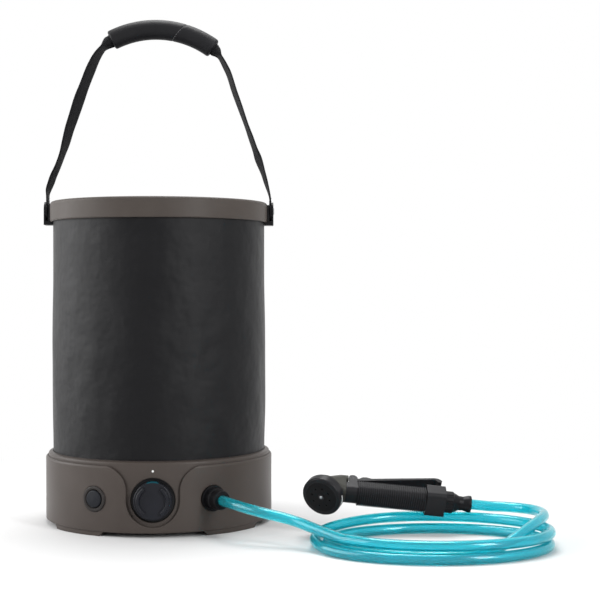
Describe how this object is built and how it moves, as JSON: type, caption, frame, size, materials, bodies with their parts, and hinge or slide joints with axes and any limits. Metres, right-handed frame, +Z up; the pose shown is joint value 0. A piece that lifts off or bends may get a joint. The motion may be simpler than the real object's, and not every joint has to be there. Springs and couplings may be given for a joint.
{
  "type": "camp shower pump",
  "caption": "Collapsible fabric water bucket on a pump base with a pull-out battery, carry handle, coiled hose and trigger sprayer.",
  "frame": {"origin": "on the ground, under the bucket's axis", "axes": "+Z up along the bucket's axis, the battery faces -Y, the hose lies towards +X"},
  "size_m": [0.6327, 0.4803, 0.6654],
  "materials": {
    "taupe_plastic": "fine moulded texture",
    "black_plastic": "satin moulded",
    "grey_plastic": "satin moulded",
    "wall_fabric": "coated cloth, fine weave",
    "webbing": "woven webbing",
    "grip_cover": "padded cover, soft",
    "hose": "glossy coated hose",
    "soft_black": "soft moulded rubber",
    "teal_insert": "smooth",
    "white_dot": "smooth",
    "steel": "turned",
    "brass": "turned",
    "board": "circuit board"
  },
  "bodies": {
    "base": {"base_skirt": "taupe_plastic", "base_body": "taupe_plastic", "tank_deck": "taupe_plastic", "wall_clamp": "taupe_plastic", "deck_screws": "steel", "bottom_cover": "black_plastic", "bottom_screws": "steel", "button_bezel": "black_plastic", "button_switch": "board", "battery_socket": "black_plastic", "battery_contacts": "brass", "alignment_dot": "white_dot", "pump_housing": "black_plastic", "pump_backplate": "black_plastic", "pump_motor": "steel", "shaft_seal": "soft_black", "inlet_strainer": "black_plastic", "outlet_pipe": "black_plastic", "outlet_fitting": "black_plastic", "outlet_collar": "black_plastic", "control_board": "board", "bucket_wall": "wall_fabric", "hose_lead": "hose", "hose_coil": "hose", "hose_tail": "hose", "hose_connector": "black_plastic", "sprayer_handle": "black_plastic", "handle_ribs": "soft_black", "sprayer_neck": "grey_plastic", "dial_spindle": "steel", "lever_pin": "steel"},
    "rim": {"rim_ring": "taupe_plastic", "rim_hoop": "black_plastic", "clip_left": "black_plastic", "clip_right": "black_plastic", "pivot_pins": "steel"},
    "handle": {"strap_left": "webbing", "strap_right": "webbing", "handle_grip": "grip_cover"},
    "power_button": {"power_button": "black_plastic"},
    "battery_seal": {"battery_seal": "soft_black"},
    "battery": {"battery_pack": "black_plastic", "battery_mark": "teal_insert"},
    "rotor": {"motor_shaft": "steel", "pump_impeller": "black_plastic"},
    "lever": {"spray_lever": "black_plastic"},
    "valve_stem": {"valve_stem": "brass"},
    "spray_dial": {"spray_dial": "black_plastic", "spray_face": "grey_plastic"}
  },
  "joints": [
    {"name": "collapse", "type": "slide", "parent": "base", "child": "rim", "axis": [0, 0, 1], "range_m": [-0.255, 0], "deforming": ["bucket_wall"]},
    {"name": "handle_swing", "type": "hinge", "parent": "rim", "child": "handle", "pos_m": [0, 0, 0.41], "axis": [1, 0, 0], "range_deg": [-90, 90]},
    {"name": "power_button", "type": "slide", "parent": "base", "child": "power_button", "axis": [0.4924, 0.8704, 0], "range_m": [0, 0.002], "stiffness_N_per_m": 1200},
    {"name": "battery_pull", "type": "slide", "parent": "base", "child": "battery_seal", "axis": [0, -1, 0], "range_m": [0, 0.115]},
    {"name": "battery_twist", "type": "hinge", "parent": "battery_seal", "child": "battery", "pos_m": [0, -0.146, 0.046], "axis": [0, -1, 0], "range_deg": [0, 30]},
    {"name": "impeller_spin", "type": "hinge", "parent": "base", "child": "rotor", "pos_m": [0.078, 0.02, 0.046], "axis": [0, 0, 1], "continuous": true},
    {"name": "lever_squeeze", "type": "hinge", "parent": "base", "child": "lever", "pos_m": [0.24802, -0.11964, 0.0591], "axis": [-0.094, 0.4384, -0.8939], "range_deg": [0, 7.5], "stiffness_Nm_per_rad": 1.5},
    {"name": "valve_stem", "type": "slide", "parent": "base", "child": "valve_stem", "axis": [-0.0458, -0.8988, -0.436], "range_m": [0, 0.0025]},
    {"name": "spray_dial", "type": "hinge", "parent": "base", "child": "spray_dial", "pos_m": [0.21452, -0.13557, 0.0548], "axis": [-0.4464, -0.8211, -0.3558], "continuous": true}
  ],
  "couplings": [
    {"joint": "valve_stem", "follows": "lever_squeeze", "m_per_rad": 0.018}
  ]
}
